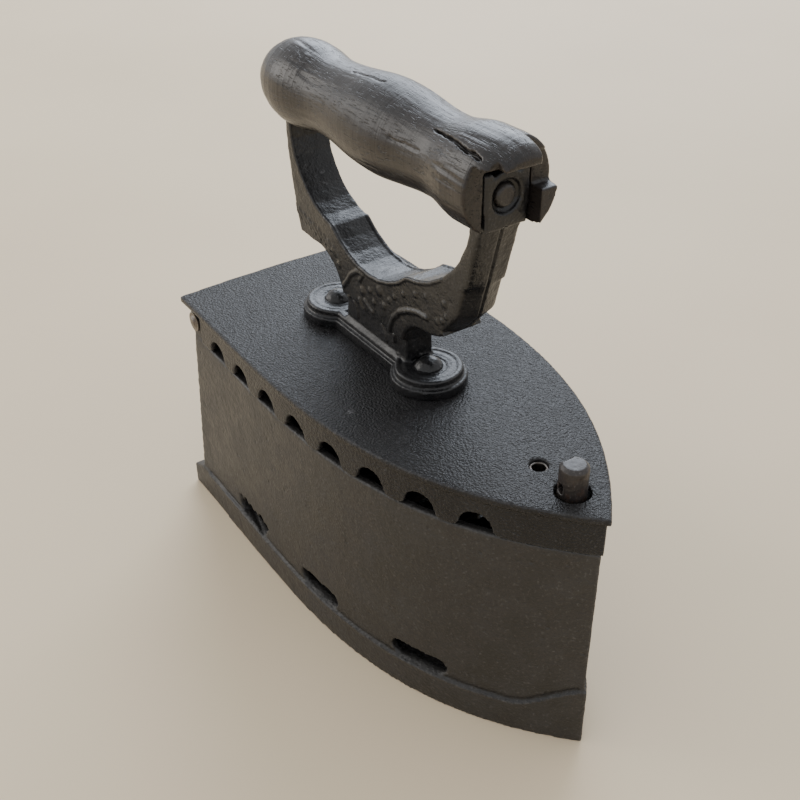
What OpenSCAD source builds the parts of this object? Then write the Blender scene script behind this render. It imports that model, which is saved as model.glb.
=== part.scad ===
// Charcoal clothes iron: a boat-shaped cast-iron fire box with a hinged lid that carries the handle.
// X runs from the heel to the nose, Y to the iron's left, Z up from the sole's working face.
// Heights and places below are measured from the sole and from the lid's heel corners; every
// piece is then moved by mid_x, so that the origin lies under the middle of the sole.

/* [Plan outline] */
// Length of the lid from its heel corners to its nose
lid_len = 200; // [180:1:240]
// Width of the lid across the heel
lid_w = 92; // [80:1:112]
// Half angle of the nose
nose_angle = 45; // [40:1:50]
// How far the heel's straight sides pull on the outline
side_reach = 80; // [65:1:90]
// How far the nose's flanks pull on the outline
nose_reach = 82; // [72:1:88]
// Bow of the lid's heel edge
heel_bow = 1.8; // [0:0.1:4]

/* [Fire box] */
// Height of the fire box's rim
tub_h = 86; // [70:1:110]
// Height of the sole block
base_h = 13.5; // [11:0.5:16]
// Height of the sole block at the nose
nose_base_h = 25; // [18:1:32]
// Length of the stretch in which the sole block rises to the nose
nose_rise_len = 20; // [12:1:30]
// Height of the sole block's outer edge at the heel
heel_edge_h = 9; // [6:0.5:11]
// How far the sole block reaches behind the lid's heel
heel_out = 12; // [8:1:16]
// Inset of the sole block from the lid's outline
base_inset = 0.9; // [0.2:0.1:1.5]
// Inset of the fire box's walls from the lid's outline
wall_inset = 1.8; // [1.2:0.1:3]
// Thickness of the walls
wall_t = 4.2; // [3:0.2:6]
// Thickness of the sole under the fire
floor_t = 13; // [10:0.5:13.5]
// Heel wall's foot, behind the lid's heel corners
heel_foot_back = 3.5; // [1:0.5:6]
// Heel wall's top edge, in front of the lid's heel corners
heel_top_front = 6; // [3:0.5:8]
// Length of the solid block inside the nose
nose_block_len = 26; // [24:1:32]

/* [Draught slots] */
// Number of draught slots in each side
slot_count = 3; // [1:1:3]
// Distance along the side from the heel to the first slot's middle
slot_first = 45; // [40:1:60]
// Distance between slots along the side
slot_pitch = 52; // [40:1:54]
// Length of a slot
slot_l = 23; // [14:1:30]
// Height of a slot
slot_h = 7; // [5:0.5:9]

/* [Fire grate] */
// Height of the grate above the fire box's floor
grate_lift = 11; // [9:0.5:16]
// Thickness of the grate
grate_t = 3.5; // [2.5:0.5:6]
// Width of the grate's slots
grate_slot_w = 5; // [3:0.5:6]
// Distance between the grate's slots
grate_pitch = 10.5; // [9:0.5:14]
// Width of the grate's rim and of its middle rib
grate_rim = 6; // [4:0.5:9]
// Gap between the grate and the walls
grate_gap = 0.9; // [0.5:0.1:2]
// Radius of the posts that carry the grate
post_r = 4; // [3:0.5:5]

/* [Lid] */
// Thickness of the lid's plate
lid_t = 2.5; // [2:0.1:4]
// Depth of the skirt below the plate
skirt_h = 13; // [11.5:0.5:18]
// Thickness of the skirt
skirt_t = 2.6; // [2:0.1:3.5]
// Inset of the skirt from the lid's outline
skirt_inset = 1.2; // [0.6:0.1:1.6]
// Gap between the skirt and the fire box's rim
lid_gap = 0.2; // [0.15:0.05:0.5]
// Width of a vent
vent_w = 11.4; // [8:0.2:13]
// Height of a vent
vent_h = 7.3; // [6:0.1:9]
// Rounding of the skirt's teeth beside the vents
tooth_round = 2.6; // [1:0.1:3]
// Distance between vents along the side
vent_pitch = 20.1; // [18:0.1:26]
// Distance along the side from the heel to the first vent's middle
vent_first = 29; // [26:1:34]
// Closed length of the skirt along each flank of the nose
vent_free_nose = 38; // [34:1:60]

/* [Hinge] */
// Hinge pin in front of the lid's heel corners
hinge_x = 7.7; // [7:0.1:9]
// Radius of the hinge pin
hinge_pin_r = 2; // [1.5:0.1:2.5]
// Radius of the hinge lugs
lug_r = 5; // [4.5:0.1:5.4]
// Width of a hinge lug on the fire box
ear_w = 4.2; // [3:0.1:6]
// Width of a hinge lug on the lid
knuckle_w = 8; // [6:0.5:14]
// Height of the hinge pin above the fire box's rim
hinge_lift = 7; // [6.8:0.1:7.4]
// Thickness of the washers on the hinge pin
hinge_washer_t = 0.8; // [0.5:0.1:1]

/* [Latch] */
// Peg behind the lid's nose
peg_back = 17.5; // [16.5:0.5:19]
// Radius of the peg
peg_r = 4.7; // [4.2:0.1:5]
// Height of the peg above the lid
peg_rise = 10.3; // [8:0.1:12]
// Radius of the hole in the lid for the peg
peg_hole_r = 5.8; // [5.6:0.1:6.4]
// Radius of the peg's shank
shank_r = 3.5; // [2.8:0.1:3.8]
// Length of the peg's shank
shank_l = 30; // [24:1:40]
// Radius of the peg's collar
collar_r = 6; // [5.5:0.1:6.4]
// Depth of the peg's keyway and locking groove
groove_d = 1.8; // [1.4:0.1:2]
// Width of the keeper's tongue
tongue_w = 3.4; // [2.6:0.1:4]
// Thickness of the keeper
keeper_t = 2.4; // [1.6:0.1:3]
// Distance from the peg to the keeper's rivet
keeper_back = 15.7; // [13:0.1:18]
// Radius of the keeper's hollow rivet
keeper_rivet_r = 3.1; // [2.4:0.1:3.6]
// Angle through which the peg turns to lock
lock_turn = 90; // [60:5:90]

/* [Heat shield] */
// Gap between the lid and the heat shield
shield_gap = 8; // [5:0.5:8.5]
// Thickness of the heat shield
shield_t = 1.2; // [0.8:0.1:2]
// Inset of the heat shield from the lid's outline
shield_inset = 10; // [8:0.5:16]
// Heat shield's edge, in front of the lid's heel corners
shield_heel_x = 24; // [20:1:30]
// Heat shield's end, behind the peg
shield_nose_back = 26; // [24:1:40]

/* [Handle] */
// Middle of the handle's foot, in front of the lid's heel corners
foot_x = 77; // [70:1:90]
// Distance between the foot's two rivets
foot_span = 60; // [58:1:70]
// Radius of the foot's bosses
boss_r = 13.7; // [12:0.1:16]
// Thickness of the foot
foot_t = 6; // [4.5:0.5:8]
// Width of the bar between the bosses
waist_w = 16.4; // [13:0.2:20]
// Radius of the foot's rivets
rivet_r = 3; // [2.4:0.1:3.5]
// Radius of the rivets' heads
rivet_head_r = 5.2; // [4.4:0.1:6]
// Width of the handle's arms and cradle
strap_w = 15.6; // [13:0.2:18]
// Width of the pedestal below the cradle
pedestal_w = 11; // [8:0.5:13]
// Radius of the eyes at the ends of the arms
eye_r = 8.2; // [7.8:0.1:9]
// Height of the grip's axis above the lid
grip_h = 86.3; // [84:0.1:100]
// Height of the grip's axis above the rod's
rod_drop = 3; // [0:0.1:4]
// Radius of the rod
rod_r = 3.7; // [3:0.1:4.2]

/* [Grip] */
// Rear end of the grip, in front of the lid's heel corners
grip_x = 11; // [7:0.5:13]
// Largest radius of the grip
grip_r = 15.9; // [15:0.1:18]
// Depth of the grip's two waists
waist_d = 2.6; // [1:0.1:3.4]
// Gap between the wood and the iron arms
wood_gap = 0.4; // [0.2:0.1:0.8]
// Radius of the recess for the rod's nut
nut_recess_r = 7.5; // [7:0.1:8.5]

/* [Hidden] */

$fn = 48;
side_steps = 26;       // straight stretches in each side of the outline
arc_steps = 8;         // straight stretches in a handle arc
fit = 0.05;            // radial gap of a pin in its hole
eps = 1;               // how far a cutting shape runs past a face

mid_x = (lid_len - heel_out) / 2;
wide = lid_w * 2;
lid_z = tub_h + lid_gap + skirt_h;          // lid plate's underside
lid_top = lid_z + lid_t;
hinge_z = tub_h + hinge_lift;
peg_x = lid_len - peg_back;
keeper_x = peg_x - keeper_back;
nose_block_x = lid_len - nose_block_len;
grate_z = floor_t + grate_lift;
shield_z = lid_z - shield_gap - shield_t;   // heat shield's underside
rod_z = lid_top + grip_h - rod_drop;
grip_z = lid_top + grip_h;

// ---- plan outline ----

// Point at share t of a cubic curve through four control points
function cubic(a, b, c, d, t) =
    a * pow(1 - t, 3) + b * 3 * t * pow(1 - t, 2) + c * 3 * t * t * (1 - t) + d * pow(t, 3);

// Length of the nose flank's pull for an outline inset by d
function flank(d) = nose_reach - d / tan(nose_angle);

// Nose of the outline inset by d
function tip_x(d) = lid_len - d / sin(nose_angle);

// Point at share t of the left side, inset by d, from the heel at x = heel to the nose
function side_pt(d, heel, t) = cubic(
    [heel, lid_w / 2 - d],
    [side_reach, lid_w / 2 - d],
    [tip_x(d) - flank(d) * cos(nose_angle), flank(d) * sin(nose_angle)],
    [tip_x(d), 0], t);

// Length along the left side up to share t
function side_len(d, t, n = 40) = let (p = [for (i = [0 : n]) side_pt(d, 0, t * i / n)])
    sum([for (i = [1 : n]) norm(p[i] - p[i - 1])]);

function sum(v, i = 0) = i < len(v) ? v[i] + sum(v, i + 1) : 0;

// Share of the left side at which the length along it reaches s, by halving
function share_at(d, s, lo = 0, hi = 1, n = 14) = let (m = (lo + hi) / 2)
    n == 0 ? m : side_len(d, m) < s ? share_at(d, s, m, hi, n - 1) : share_at(d, s, lo, m, n - 1);

// Direction of the left side at share t
function side_dir(d, t) = let (v = side_pt(d, 0, min(1, t + 0.01)) - side_pt(d, 0, t - 0.01))
    atan2(v[1], v[0]);

function flip(p) = [p[0], -p[1]];

module plan(d, heel, bow = 0) {
    side = [for (i = [0 : side_steps]) side_pt(d, heel, i / side_steps)];
    half = lid_w / 2 - d;
    heel_edge = bow == 0 ? [] : [for (i = [-5 : 5]) [heel - bow * (1 - pow(i / 6, 2)), half * i / 6]];
    polygon(concat(side, [for (i = [side_steps - 1 : -1 : 0]) flip(side[i])], heel_edge));
}

module prism(d, heel, z0, z1, bow = 0) {
    translate([0, 0, z0]) linear_extrude(z1 - z0) plan(d, heel, bow);
}

// An outline in X and Z, extruded to a width across the iron
module profile(points, w = wide, y = 0) {
    translate([0, y, 0]) rotate([90, 0, 0]) linear_extrude(w, center = true) polygon(points);
}

// Puts a shape on both sides at length s along the walls, turned square to the wall
module on_sides(s, z) {
    t = share_at(wall_inset, s);
    p = side_pt(wall_inset, 0, t);
    for (m = [0, 1])
        mirror([0, m, 0]) translate([p[0], p[1], z]) rotate([0, 0, side_dir(wall_inset, t)]) children();
}

module rod_x(r, x0, x1, z, y = 0) {
    translate([x0, y, z]) rotate([0, 90, 0]) cylinder(r = r, h = x1 - x0);
}

module rod_y(r, y0, y1, x, z) {
    translate([x, y0, z]) rotate([-90, 0, 0]) cylinder(r = r, h = y1 - y0);
}

module placed() {
    translate([-mid_x, 0, 0]) children();
}

// ---- fire box ----

ear_inset = 0.4;                            // hinge lug's outer face, inside the wall's
ear_y1 = lid_w / 2 - wall_inset - ear_inset;
ear_y0 = ear_y1 - ear_w;
side_play = 0.4;                            // sideways play of the lid in its hinge
swing_gap = 1.3;                            // between a hinge lug and the lid's skirt
skirt_x = hinge_x + lug_r + swing_gap;      // rear face of the lid's skirt
heel_wall_t = wall_t + 0.3;
heel_chamfer = 1.5;                         // along the outer edge of the sole block's heel
ledge_h = 8;                                // ledge inside the heel wall's rim
ledge_lip = 2;
ledge_over = 0.4;                           // how far the ledge reaches past the skirt
post_in = 4;                                // grate posts, in from the grate's rim
post_ahead = 9;                             // and from its ends
slot_lift = 0.5;                            // draught slots above the sole block

function smooth(t) = t * t * (3 - 2 * t);
function heel_out_x(z) = -heel_foot_back
    + (heel_top_front + heel_foot_back) * (z - base_h) / (tub_h - base_h);
function heel_in_x(z) = heel_out_x(z) + heel_wall_t;

module sole_block() {
    rise = [for (i = [0 : arc_steps]) [lid_len - nose_rise_len + nose_rise_len * i / arc_steps,
        base_h + (nose_base_h - base_h) * smooth(i / arc_steps)]];
    intersection() {
        prism(base_inset, -heel_out, 0, nose_base_h);
        profile(concat(
            [[-heel_out - eps, 0], [-heel_out - eps, heel_edge_h],
                [-heel_out + heel_chamfer, heel_edge_h + heel_chamfer],
                [-heel_foot_back, base_h]],
            rise, [[lid_len + eps, nose_base_h], [lid_len + eps, 0]]));
    }
}

module wall_block() {
    intersection() {
        prism(wall_inset, -heel_foot_back - eps, base_h - eps, tub_h);
        profile([[heel_out_x(base_h - eps), base_h - eps], [heel_out_x(tub_h), tub_h],
            [lid_len, tub_h], [lid_len, base_h - eps]]);
    }
}

module fire_space() {
    top = tub_h + eps;
    intersection() {
        prism(wall_inset + wall_t, -heel_foot_back, floor_t, top);
        profile([[heel_in_x(floor_t), floor_t], [heel_in_x(top), top],
            [nose_block_x, top], [nose_block_x, floor_t]]);
    }
}

// Ledge inside the heel wall's rim, on which the heel side of the lid's skirt closes
module heel_ledge() {
    front = skirt_x + skirt_t + ledge_over;
    foot = tub_h - ledge_h;
    intersection() {
        prism(wall_inset + wall_t / 2, 0, foot, tub_h);
        profile([[heel_in_x(foot) - eps, foot], [front, tub_h - ledge_lip],
            [front, tub_h], [heel_in_x(tub_h) - eps, tub_h]]);
    }
}

module draught_slot() {
    flat = slot_l / 2 - slot_h / 2;
    rotate([90, 0, 0]) linear_extrude(wall_t * 4, center = true) {
        square([flat * 2, slot_h], center = true);
        translate([flat, 0]) circle(slot_h / 2);
        translate([-flat, 0]) circle(slot_h / 2);
    }
}

module grate_posts() {
    reach = lid_w / 2 - wall_inset - wall_t - grate_rim - post_in;
    rear = heel_in_x(grate_z) + post_ahead;
    for (p = [[rear, -reach], [rear, reach], [lid_len / 2, -reach + post_r], [lid_len / 2, reach - post_r],
            [nose_block_x - post_ahead, 0]])
        translate([p[0], p[1], floor_t - eps]) cylinder(r = post_r, h = grate_lift + eps);
}

module body_tub() {
    color([0.17, 0.16, 0.15]) placed() difference() {
        union() {
            difference() {
                union() {
                    sole_block();
                    wall_block();
                }
                fire_space();
                for (i = [0 : slot_count - 1])
                    on_sides(slot_first + i * slot_pitch, base_h + slot_lift + slot_h / 2) draught_slot();
            }
            grate_posts();
            heel_ledge();
            for (m = [0, 1]) mirror([0, m, 0]) {
                rod_y(lug_r, ear_y0, ear_y1, hinge_x, hinge_z);
                profile([[heel_top_front, tub_h - eps], [hinge_x - lug_r * 0.92, hinge_z - lug_r * 0.4],
                    [hinge_x + lug_r * 0.92, hinge_z - lug_r * 0.4], [hinge_x + lug_r, tub_h - eps]],
                    ear_w, (ear_y0 + ear_y1) / 2);
            }
        }
        rod_y(hinge_pin_r + fit, -lid_w, lid_w, hinge_x, hinge_z);
        translate([peg_x, 0, tub_h - shank_l - eps]) cylinder(r = shank_r + fit, h = shank_l + 2 * eps);
        rod_x(screw_r + fit, nose_block_x - eps, peg_x, screw_z);
    }
}

module fire_grate() {
    d = wall_inset + wall_t + grate_gap;
    heel = heel_in_x(grate_z + grate_t) + grate_gap;
    nose = nose_block_x - grate_gap;
    color([0.2, 0.19, 0.18]) placed() translate([0, 0, grate_z]) difference() {
        intersection() {
            prism(d, heel, 0, grate_t);
            translate([heel, -lid_w, 0]) cube([nose - heel, wide, grate_t]);
        }
        intersection() {
            prism(d + grate_rim, heel + grate_rim, -eps, grate_t + eps);
            for (x = [heel + grate_rim : grate_pitch : nose - grate_rim - grate_slot_w], m = [0, 1])
                mirror([0, m, 0]) translate([x, grate_rim / 2, -eps])
                    cube([grate_slot_w, lid_w, grate_t + 2 * eps]);
        }
    }
}

// ---- hinge pin ----

pin_head = 0.8;                             // hammered end: height, and reach past the pin

module hinge_pin() {
    reach = ear_y1 + hinge_washer_t;
    color([0.35, 0.33, 0.31]) placed() {
        rod_y(hinge_pin_r, -reach, reach, hinge_x, hinge_z);
        for (m = [0, 1]) mirror([0, m, 0]) translate([hinge_x, reach, hinge_z]) rotate([-90, 0, 0])
            cylinder(r1 = hinge_pin_r + pin_head, r2 = hinge_pin_r - pin_head / 2, h = pin_head);
    }
}

module hinge_pin_washers() {
    color([0.3, 0.28, 0.26]) placed() for (m = [0, 1]) mirror([0, m, 0]) difference() {
        rod_y(lug_r - 1, ear_y1, ear_y1 + hinge_washer_t, hinge_x, hinge_z);
        rod_y(hinge_pin_r + fit, ear_y1 - eps, ear_y1 + hinge_washer_t + eps, hinge_x, hinge_z);
    }
}

// ---- latch ----

peg_washer_t = 1;
collar_t = 2.2;
peg_top = lid_top + peg_rise;
peg_chamfer = 1.1;
groove_play = 0.4;                          // keeper's play above and below in the groove
groove_z0 = lid_z - keeper_t - groove_play;
groove_z1 = lid_z + groove_play;
key_w = tongue_w + 2 * groove_play;
key_deeper = 0.2;                           // keyway's floor below the groove's
key_lower = 0.3;                            // and its end below the groove's
stop_turn = 6;                              // groove past the tongue's edge
bar_slot_w = 3;                             // slot for the bar that turns the peg
bar_slot_h = 3.6;
bar_slot_lift = 0.4;
bar_slot_turn = -105;
screw_r = 1.8;
screw_z = tub_h - shank_l * 0.66;
screw_head_r = 3.2;
screw_head_t = 1.8;
screw_cut_w = 1;
screw_cut_d = 0.8;
shank_groove_d = 1.1;                       // ring round the shank for the set screw's tip
shank_groove_play = 0.3;
screw_tip_x = peg_x - shank_r + shank_groove_d - shank_groove_play;

module latch_peg() {
    groove_r = peg_r - groove_d;
    tongue_half = asin(tongue_w / 2 / groove_r) + stop_turn;
    foot = tub_h + peg_washer_t;
    color([0.2, 0.16, 0.13]) placed() translate([peg_x, 0, 0]) difference() {
        union() {
            translate([0, 0, foot]) cylinder(r = collar_r, h = collar_t);
            translate([0, 0, foot]) cylinder(r = peg_r, h = peg_top - peg_chamfer - foot);
            translate([0, 0, peg_top - peg_chamfer])
                cylinder(r1 = peg_r, r2 = peg_r - peg_chamfer, h = peg_chamfer);
            translate([0, 0, tub_h - shank_l]) cylinder(r = shank_r, h = shank_l + peg_washer_t + eps);
        }
        translate([-peg_r - eps, -key_w / 2, groove_z0 - key_lower])
            cube([groove_d + key_deeper + eps, key_w, peg_top - groove_z0 + key_lower + eps]);
        rotate([0, 0, 180 - lock_turn - tongue_half]) translate([0, 0, groove_z0])
            rotate_extrude(angle = lock_turn + tongue_half)
                translate([groove_r, 0]) square([groove_d + eps, groove_z1 - groove_z0]);
        rotate([0, 0, bar_slot_turn]) translate([0, 0, lid_top + bar_slot_lift + bar_slot_h / 2])
            cube([peg_r * 3, bar_slot_w, bar_slot_h], center = true);
        translate([0, 0, screw_z]) difference() {
            cylinder(r = shank_r + eps, h = 2 * (screw_r + shank_groove_play), center = true);
            cylinder(r = shank_r - shank_groove_d, h = 2 * (screw_r + shank_groove_play), center = true);
        }
    }
}

module peg_washer() {
    color([0.32, 0.3, 0.27]) placed() translate([peg_x, 0, tub_h]) difference() {
        cylinder(r = collar_r, h = peg_washer_t);
        translate([0, 0, -eps]) cylinder(r = shank_r + fit, h = peg_washer_t + 2 * eps);
    }
}

module peg_set_screw() {
    head_x = nose_block_x - screw_head_t;
    color([0.3, 0.28, 0.25]) placed() difference() {
        union() {
            rod_x(screw_r, nose_block_x - fit, screw_tip_x, screw_z);
            rod_x(screw_head_r, head_x, nose_block_x, screw_z);
        }
        translate([head_x - eps, -screw_cut_w / 2, screw_z - screw_head_r - eps])
            cube([eps + screw_cut_d, screw_cut_w, 2 * (screw_head_r + eps)]);
    }
}

// ---- lid ----

vent_z = tub_h + lid_gap + vent_h - vent_w / 2;
vent_last = side_len(wall_inset, 1) - vent_free_nose;
vent_count = 1 + floor((vent_last - vent_first) / vent_pitch);
knuckle_web = 7.2;                          // between a lug on the lid and the lid's plate
lid_weld = 0.5;                             // overlap of the lid's parts in its plate
peg_hole_shift = 0.25;                      // lid's hole, ahead of the peg

module vent() {
    rotate([90, 0, 0]) linear_extrude(skirt_t * 4, center = true) {
        circle(vent_w / 2);
        translate([-vent_w / 2, -vent_h]) square([vent_w, vent_h]);
        for (m = [0, 1]) mirror([m, 0]) translate([vent_w / 2, vent_w / 2 - vent_h]) difference() {
            translate([-eps, -eps]) square([tooth_round + eps, tooth_round + eps]);
            translate([tooth_round, tooth_round]) circle(tooth_round);
        }
    }
}

module knuckles() {
    y1 = ear_y0 - side_play;
    y0 = y1 - knuckle_w;
    for (m = [0, 1]) mirror([0, m, 0]) {
        rod_y(lug_r, y0, y1, hinge_x, hinge_z);
        translate([hinge_x - knuckle_web / 2, y0, hinge_z])
            cube([knuckle_web, knuckle_w, lid_z - hinge_z + lid_weld]);
    }
}

module lid() {
    color([0.2, 0.21, 0.23]) placed() difference() {
        union() {
            prism(0, 0, lid_z, lid_top, heel_bow);
            difference() {
                intersection() {
                    prism(skirt_inset, 0, lid_z - skirt_h, lid_z + lid_weld);
                    translate([skirt_x, -lid_w, 0]) cube([lid_len, wide, lid_top]);
                }
                intersection() {
                    prism(skirt_inset + skirt_t, 0, 0, lid_z);
                    translate([skirt_x + skirt_t, -lid_w, 0]) cube([lid_len, wide, lid_z]);
                }
                for (i = [0 : vent_count - 1])
                    on_sides(vent_first + i * vent_pitch, vent_z) vent();
            }
            knuckles();
        }
        rod_y(hinge_pin_r + fit, -lid_w, lid_w, hinge_x, hinge_z);
        translate([peg_x + peg_hole_shift, 0, lid_z - eps]) cylinder(r = peg_hole_r, h = lid_t + 2 * eps);
        translate([keeper_x, 0, lid_z - eps]) cylinder(r = keeper_rivet_r + fit, h = lid_t + 2 * eps);
        at_rivets() translate([0, 0, lid_z - eps]) cylinder(r = rivet_r + fit, h = lid_t + 2 * eps);
    }
}

keeper_r = 6;
keeper_w = 8;
tongue_play = 0.3;                          // between the tongue's end and the groove's floor
keeper_neck = 1.6;                          // between the keeper's wide part and the peg
rivet_rim_w = 1.2;
rivet_rim_t = 1.3;
rivet_wall = 0.8;
rivet_sunk = 1.1;                           // hollow rivet's end below the lid's top

module keeper_tongue() {
    tip = peg_x - peg_r + groove_d - tongue_play;
    neck = peg_x - peg_r - keeper_neck;
    color([0.28, 0.26, 0.24]) placed() translate([0, 0, lid_z - keeper_t]) difference() {
        union() {
            translate([keeper_x, 0, 0]) cylinder(r = keeper_r, h = keeper_t);
            translate([keeper_x, -keeper_w / 2, 0]) cube([neck - keeper_x, keeper_w, keeper_t]);
            translate([neck - eps, -tongue_w / 2, 0]) cube([tip - neck + eps, tongue_w, keeper_t]);
        }
        translate([keeper_x, 0, -eps]) cylinder(r = keeper_rivet_r + fit, h = keeper_t + 2 * eps);
    }
}

module keeper_rivet() {
    foot = lid_z - keeper_t - rivet_rim_t;
    color([0.16, 0.14, 0.13]) placed() translate([keeper_x, 0, foot]) difference() {
        union() {
            cylinder(r = keeper_rivet_r + rivet_rim_w, h = rivet_rim_t);
            cylinder(r = keeper_rivet_r, h = lid_top - rivet_sunk - foot);
        }
        translate([0, 0, -eps]) cylinder(r = keeper_rivet_r - rivet_wall, h = lid_top - foot + eps);
    }
}

// ---- heat shield ----

rivet_washer_t = 1.2;
rivet_washer_w = 3.4;
spacer_w = 2;

module at_rivets() {
    for (x = [-1, 1]) translate([foot_x + x * foot_span / 2, 0, 0]) children();
}

module heat_shield() {
    nose = peg_x - shield_nose_back;
    color([0.3, 0.29, 0.28]) placed() translate([0, 0, shield_z]) difference() {
        intersection() {
            prism(shield_inset, shield_heel_x, 0, shield_t);
            translate([0, -lid_w, 0]) cube([nose, wide, shield_t]);
        }
        at_rivets() translate([0, 0, -eps]) cylinder(r = rivet_r + fit, h = shield_t + 2 * eps);
    }
}

module shield_spacers() {
    color([0.33, 0.31, 0.29]) placed() at_rivets() translate([0, 0, lid_z - shield_gap]) difference() {
        cylinder(r = rivet_r + spacer_w, h = shield_gap);
        translate([0, 0, -eps]) cylinder(r = rivet_r + fit, h = shield_gap + 2 * eps);
    }
}

module rivet_washers() {
    color([0.33, 0.31, 0.29]) placed() at_rivets()
        translate([0, 0, shield_z - rivet_washer_t]) difference() {
            cylinder(r = rivet_r + rivet_washer_w, h = rivet_washer_t);
            translate([0, 0, -eps]) cylinder(r = rivet_r + fit, h = rivet_washer_t + 2 * eps);
        }
}

// ---- handle ----

head_rise = 3.2;
head_steps = 8;
tail_t = 1.6;                               // hammered lower end
tail_w = 1.6;

// A rivet from the foot's top, through lid, spacer, shield and washer, to its hammered end
module foot_rivet(x) {
    top = lid_top + foot_t;
    bottom = shield_z - rivet_washer_t;
    dome = (rivet_head_r * rivet_head_r + head_rise * head_rise) / (2 * head_rise);
    arc = asin(rivet_head_r / dome);
    color([0.22, 0.21, 0.2]) placed() translate([x, 0, 0]) {
        translate([0, 0, bottom - fit]) cylinder(r = rivet_r, h = top - bottom + 2 * fit);
        translate([0, 0, top]) rotate_extrude() polygon(concat([[0, 0]],
            [for (i = [head_steps : -1 : 0]) [dome * sin(arc * i / head_steps),
                dome * cos(arc * i / head_steps) - dome + head_rise]]));
        translate([0, 0, bottom - tail_t]) cylinder(r1 = rivet_r, r2 = rivet_r + tail_w, h = tail_t);
    }
}

module foot_rivet_rear() {
    foot_rivet(foot_x - foot_span / 2);
}

module foot_rivet_front() {
    foot_rivet(foot_x + foot_span / 2);
}

// Points of the arc from p to q that bulges by b to the left of the way from p to q, without q
function bow(p, q, b, n = arc_steps) = let (
        chord = norm(q - p), r = (chord * chord / 4 + b * b) / (2 * abs(b)),
        way = (q - p) / chord, left = [-way[1], way[0]] * sign(b),
        centre = (p + q) / 2 + left * (abs(b) - r),
        half = asin(min(1, chord / (2 * r))))
    [for (i = [0 : n - 1]) let (a = half * (2 * i / n - 1))
        centre + left * r * cos(a) + way * r * sin(a)];

eye_below = 4;                              // arms' outlines end this far below the rod
arm_top = grip_h - rod_drop - eye_below;    // above the lid
// The yoke's places, from the middle of the foot and the lid's top
rear_top = [-49.3, arm_top];                // rear arm, outer edge at the grip
rear_in = [-45, arm_top];
rear_corner = [-42.4, 31.7];
rear_under = [-33, 31.4];
cusp_rear = [-19.2, 42.5];
cusp_front = [27.7, 42];
front_in = [61.3, arm_top];
front_top = [68.2, arm_top];
front_knee = [60.6, 50];
front_toe = [50, 30.4];
front_under = [38, 26.2];
pedestal_rear = [-13.6, 18];
pedestal_front = [25, 16];
eye_t = 5.2;
eye_web = 6;                                // overlap of an eye and its arm
rear_eye_x = foot_x + rear_top[0];          // rear face of the rear eye
front_eye_x = foot_x + front_top[0] - eye_t;
eye_recess = 1.6;                           // round the rod's front end: depth and width
// Slopes of the front arm to each side of its crease, along the stretches of crease_path
crease_turns = [14, 14, 5];
crease_path = [front_toe, front_toe + [7.4, 8], front_knee, front_top];
boss_step = 1.6;                            // step round the foot's edge
boss_share = 0.6;                           // height of that step, as a share of the foot's

module yoke_side() {
    polygon(concat(
        bow(rear_top, rear_corner, -1.6), [rear_corner],
        bow(rear_under, pedestal_rear, 4.4), [pedestal_rear],
        bow(pedestal_front, front_under, 3), bow(front_under, front_toe, -1),
        bow(front_toe, front_knee, -4.2), bow(front_knee, front_top, -0.6), [front_top],
        bow(front_in, cusp_front, 9.5), bow(cusp_front, cusp_rear, 9.2),
        bow(cusp_rear, rear_in, 9.8), [rear_in]));
}

module eye(x) {
    rod_x(eye_r, x, x + eye_t, rod_z);
    translate([x, -strap_w / 2, lid_top + arm_top - eye_web]) cube([eye_t, strap_w, eye_below + eye_web]);
}

// Slopes the front of the front arm to each side of its middle crease, from p to q
module crease_cut(p, q, turn) {
    way = q - p;
    for (m = [0, 1]) mirror([0, m, 0]) translate([p[0], 0, p[1]])
        rotate([0, atan2(way[0], way[1]), 0]) rotate([0, 0, turn])
            translate([0, -strap_w, -eps]) cube([strap_w, 2 * strap_w, norm(way) + 2 * eps]);
}

module handle_foot() {
    for (x = [-1, 1]) translate([x * foot_span / 2, 0, 0]) {
        cylinder(r = boss_r, h = foot_t * boss_share);
        cylinder(r = boss_r - boss_step, h = foot_t);
    }
    translate([-foot_span / 2, -waist_w / 2, 0]) cube([foot_span, waist_w, foot_t * boss_share]);
    translate([-foot_span / 2, -waist_w / 2 + boss_step, 0])
        cube([foot_span, waist_w - 2 * boss_step, foot_t]);
}

module handle_yoke() {
    color([0.1, 0.1, 0.11]) placed() difference() {
        union() {
            translate([foot_x, 0, lid_top]) {
                handle_foot();
                difference() {
                    rotate([90, 0, 0]) linear_extrude(strap_w, center = true) yoke_side();
                    for (i = [0 : 2]) crease_cut(crease_path[i], crease_path[i + 1], crease_turns[i]);
                }
                profile([[pedestal_rear[0] - 1.4, foot_t - eps], pedestal_rear + [0, 4],
                    pedestal_front + [0, 6], [pedestal_front[0] - 0.8, foot_t - eps]], pedestal_w);
            }
            eye(rear_eye_x);
            eye(front_eye_x);
        }
        rod_x(rod_r + fit, 0, lid_len, rod_z);
        rod_x(rod_r + eye_recess, front_eye_x + eye_t - eye_recess, front_eye_x + eye_t + eps, rod_z);
        at_rivets() translate([0, 0, lid_top - eps]) cylinder(r = rivet_r + fit, h = foot_t + 2 * eps);
    }
}

// ---- grip ----

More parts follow.
